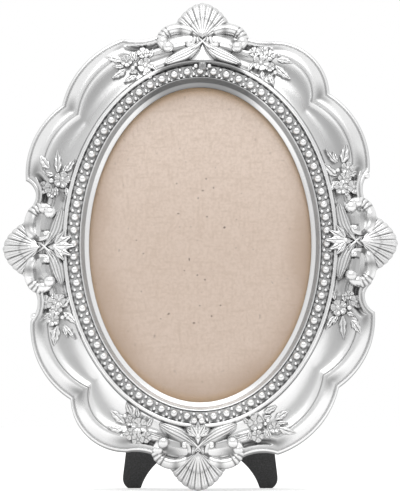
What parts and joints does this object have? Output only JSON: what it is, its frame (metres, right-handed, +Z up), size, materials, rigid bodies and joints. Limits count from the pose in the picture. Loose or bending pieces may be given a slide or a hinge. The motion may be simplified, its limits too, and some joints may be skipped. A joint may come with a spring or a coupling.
{
  "type": "oval picture frame",
  "caption": "Oval picture frame with scalloped silver moulding, bead ring, fan shells, C-scrolls and flower sprays, standing on a hinged easel leg.",
  "frame": {"origin": "on the table, below the centre of the bounding box", "axes": "+Z up, front of the frame towards -Y, easel leg towards +Y, +X to the right seen from the front"},
  "size_m": [0.2116, 0.0922, 0.2614],
  "materials": {
    "silver": "polished silver-tone casting with darker recesses",
    "glass": "clear float glass",
    "photo_board": "matt beige board with fine specks",
    "filler_card": "plain grey-brown card",
    "black_board": "matt black covered fibreboard",
    "steel": "plain zinc-plated steel",
    "brass": "satin stamped brass"
  },
  "bodies": {
    "frame": {"back_panel": "black_board", "bead_ring": "silver", "filler_board": "filler_card", "flowers_bottom_left": "silver", "flowers_bottom_right": "silver", "flowers_left_lower": "silver", "flowers_left_upper": "silver", "flowers_right_lower": "silver", "flowers_right_upper": "silver", "flowers_top_left": "silver", "flowers_top_right": "silver", "frame_moulding": "silver", "glass_pane": "glass", "hanger_rivet": "steel", "hanger_strap": "steel", "hinge_panel_leaf": "steel", "hinge_pin": "steel", "palmette_bottom": "silver", "palmette_left": "silver", "palmette_right": "silver", "palmette_top": "silver", "panel_rivets": "steel", "photo_insert": "photo_board", "scrolls_bottom": "silver", "scrolls_left": "silver", "scrolls_right": "silver", "scrolls_top": "silver", "shell_bottom": "silver", "shell_left": "silver", "shell_right": "silver", "shell_top": "silver", "turn_button_screws": "steel"},
    "leg": {"easel_leg": "black_board", "hinge_leg_leaf": "steel", "leg_rivets": "steel"},
    "hanger_ring": {"hanger_ring": "steel"},
    "turn_button_1": {"turn_button_1": "brass"},
    "turn_button_2": {"turn_button_2": "brass"},
    "turn_button_3": {"turn_button_3": "brass"},
    "turn_button_4": {"turn_button_4": "brass"}
  },
  "joints": [
    {"name": "leg_hinge", "type": "hinge", "parent": "frame", "child": "leg", "pos_m": [0, -0.01134, 0.14462], "axis": [1, 0, 0], "range_deg": [-28, 0]},
    {"name": "ring_swing", "type": "hinge", "parent": "frame", "child": "hanger_ring", "pos_m": [0, -0.00339, 0.19904], "axis": [1, 0, 0], "range_deg": [-4.5, 150]},
    {"name": "turn_button_1_pivot", "type": "hinge", "parent": "frame", "child": "turn_button_1", "pos_m": [0.0465, -0.0046, 0.19982], "axis": [0, -0.9903, 0.1392], "continuous": true},
    {"name": "turn_button_2_pivot", "type": "hinge", "parent": "frame", "child": "turn_button_2", "pos_m": [-0.0465, -0.0046, 0.19982], "axis": [0, -0.9903, 0.1392], "continuous": true},
    {"name": "turn_button_3_pivot", "type": "hinge", "parent": "frame", "child": "turn_button_3", "pos_m": [-0.0465, -0.02425, 0.05999], "axis": [0, -0.9903, 0.1392], "continuous": true},
    {"name": "turn_button_4_pivot", "type": "hinge", "parent": "frame", "child": "turn_button_4", "pos_m": [0.0465, -0.02425, 0.05999], "axis": [0, -0.9903, 0.1392], "continuous": true}
  ]
}
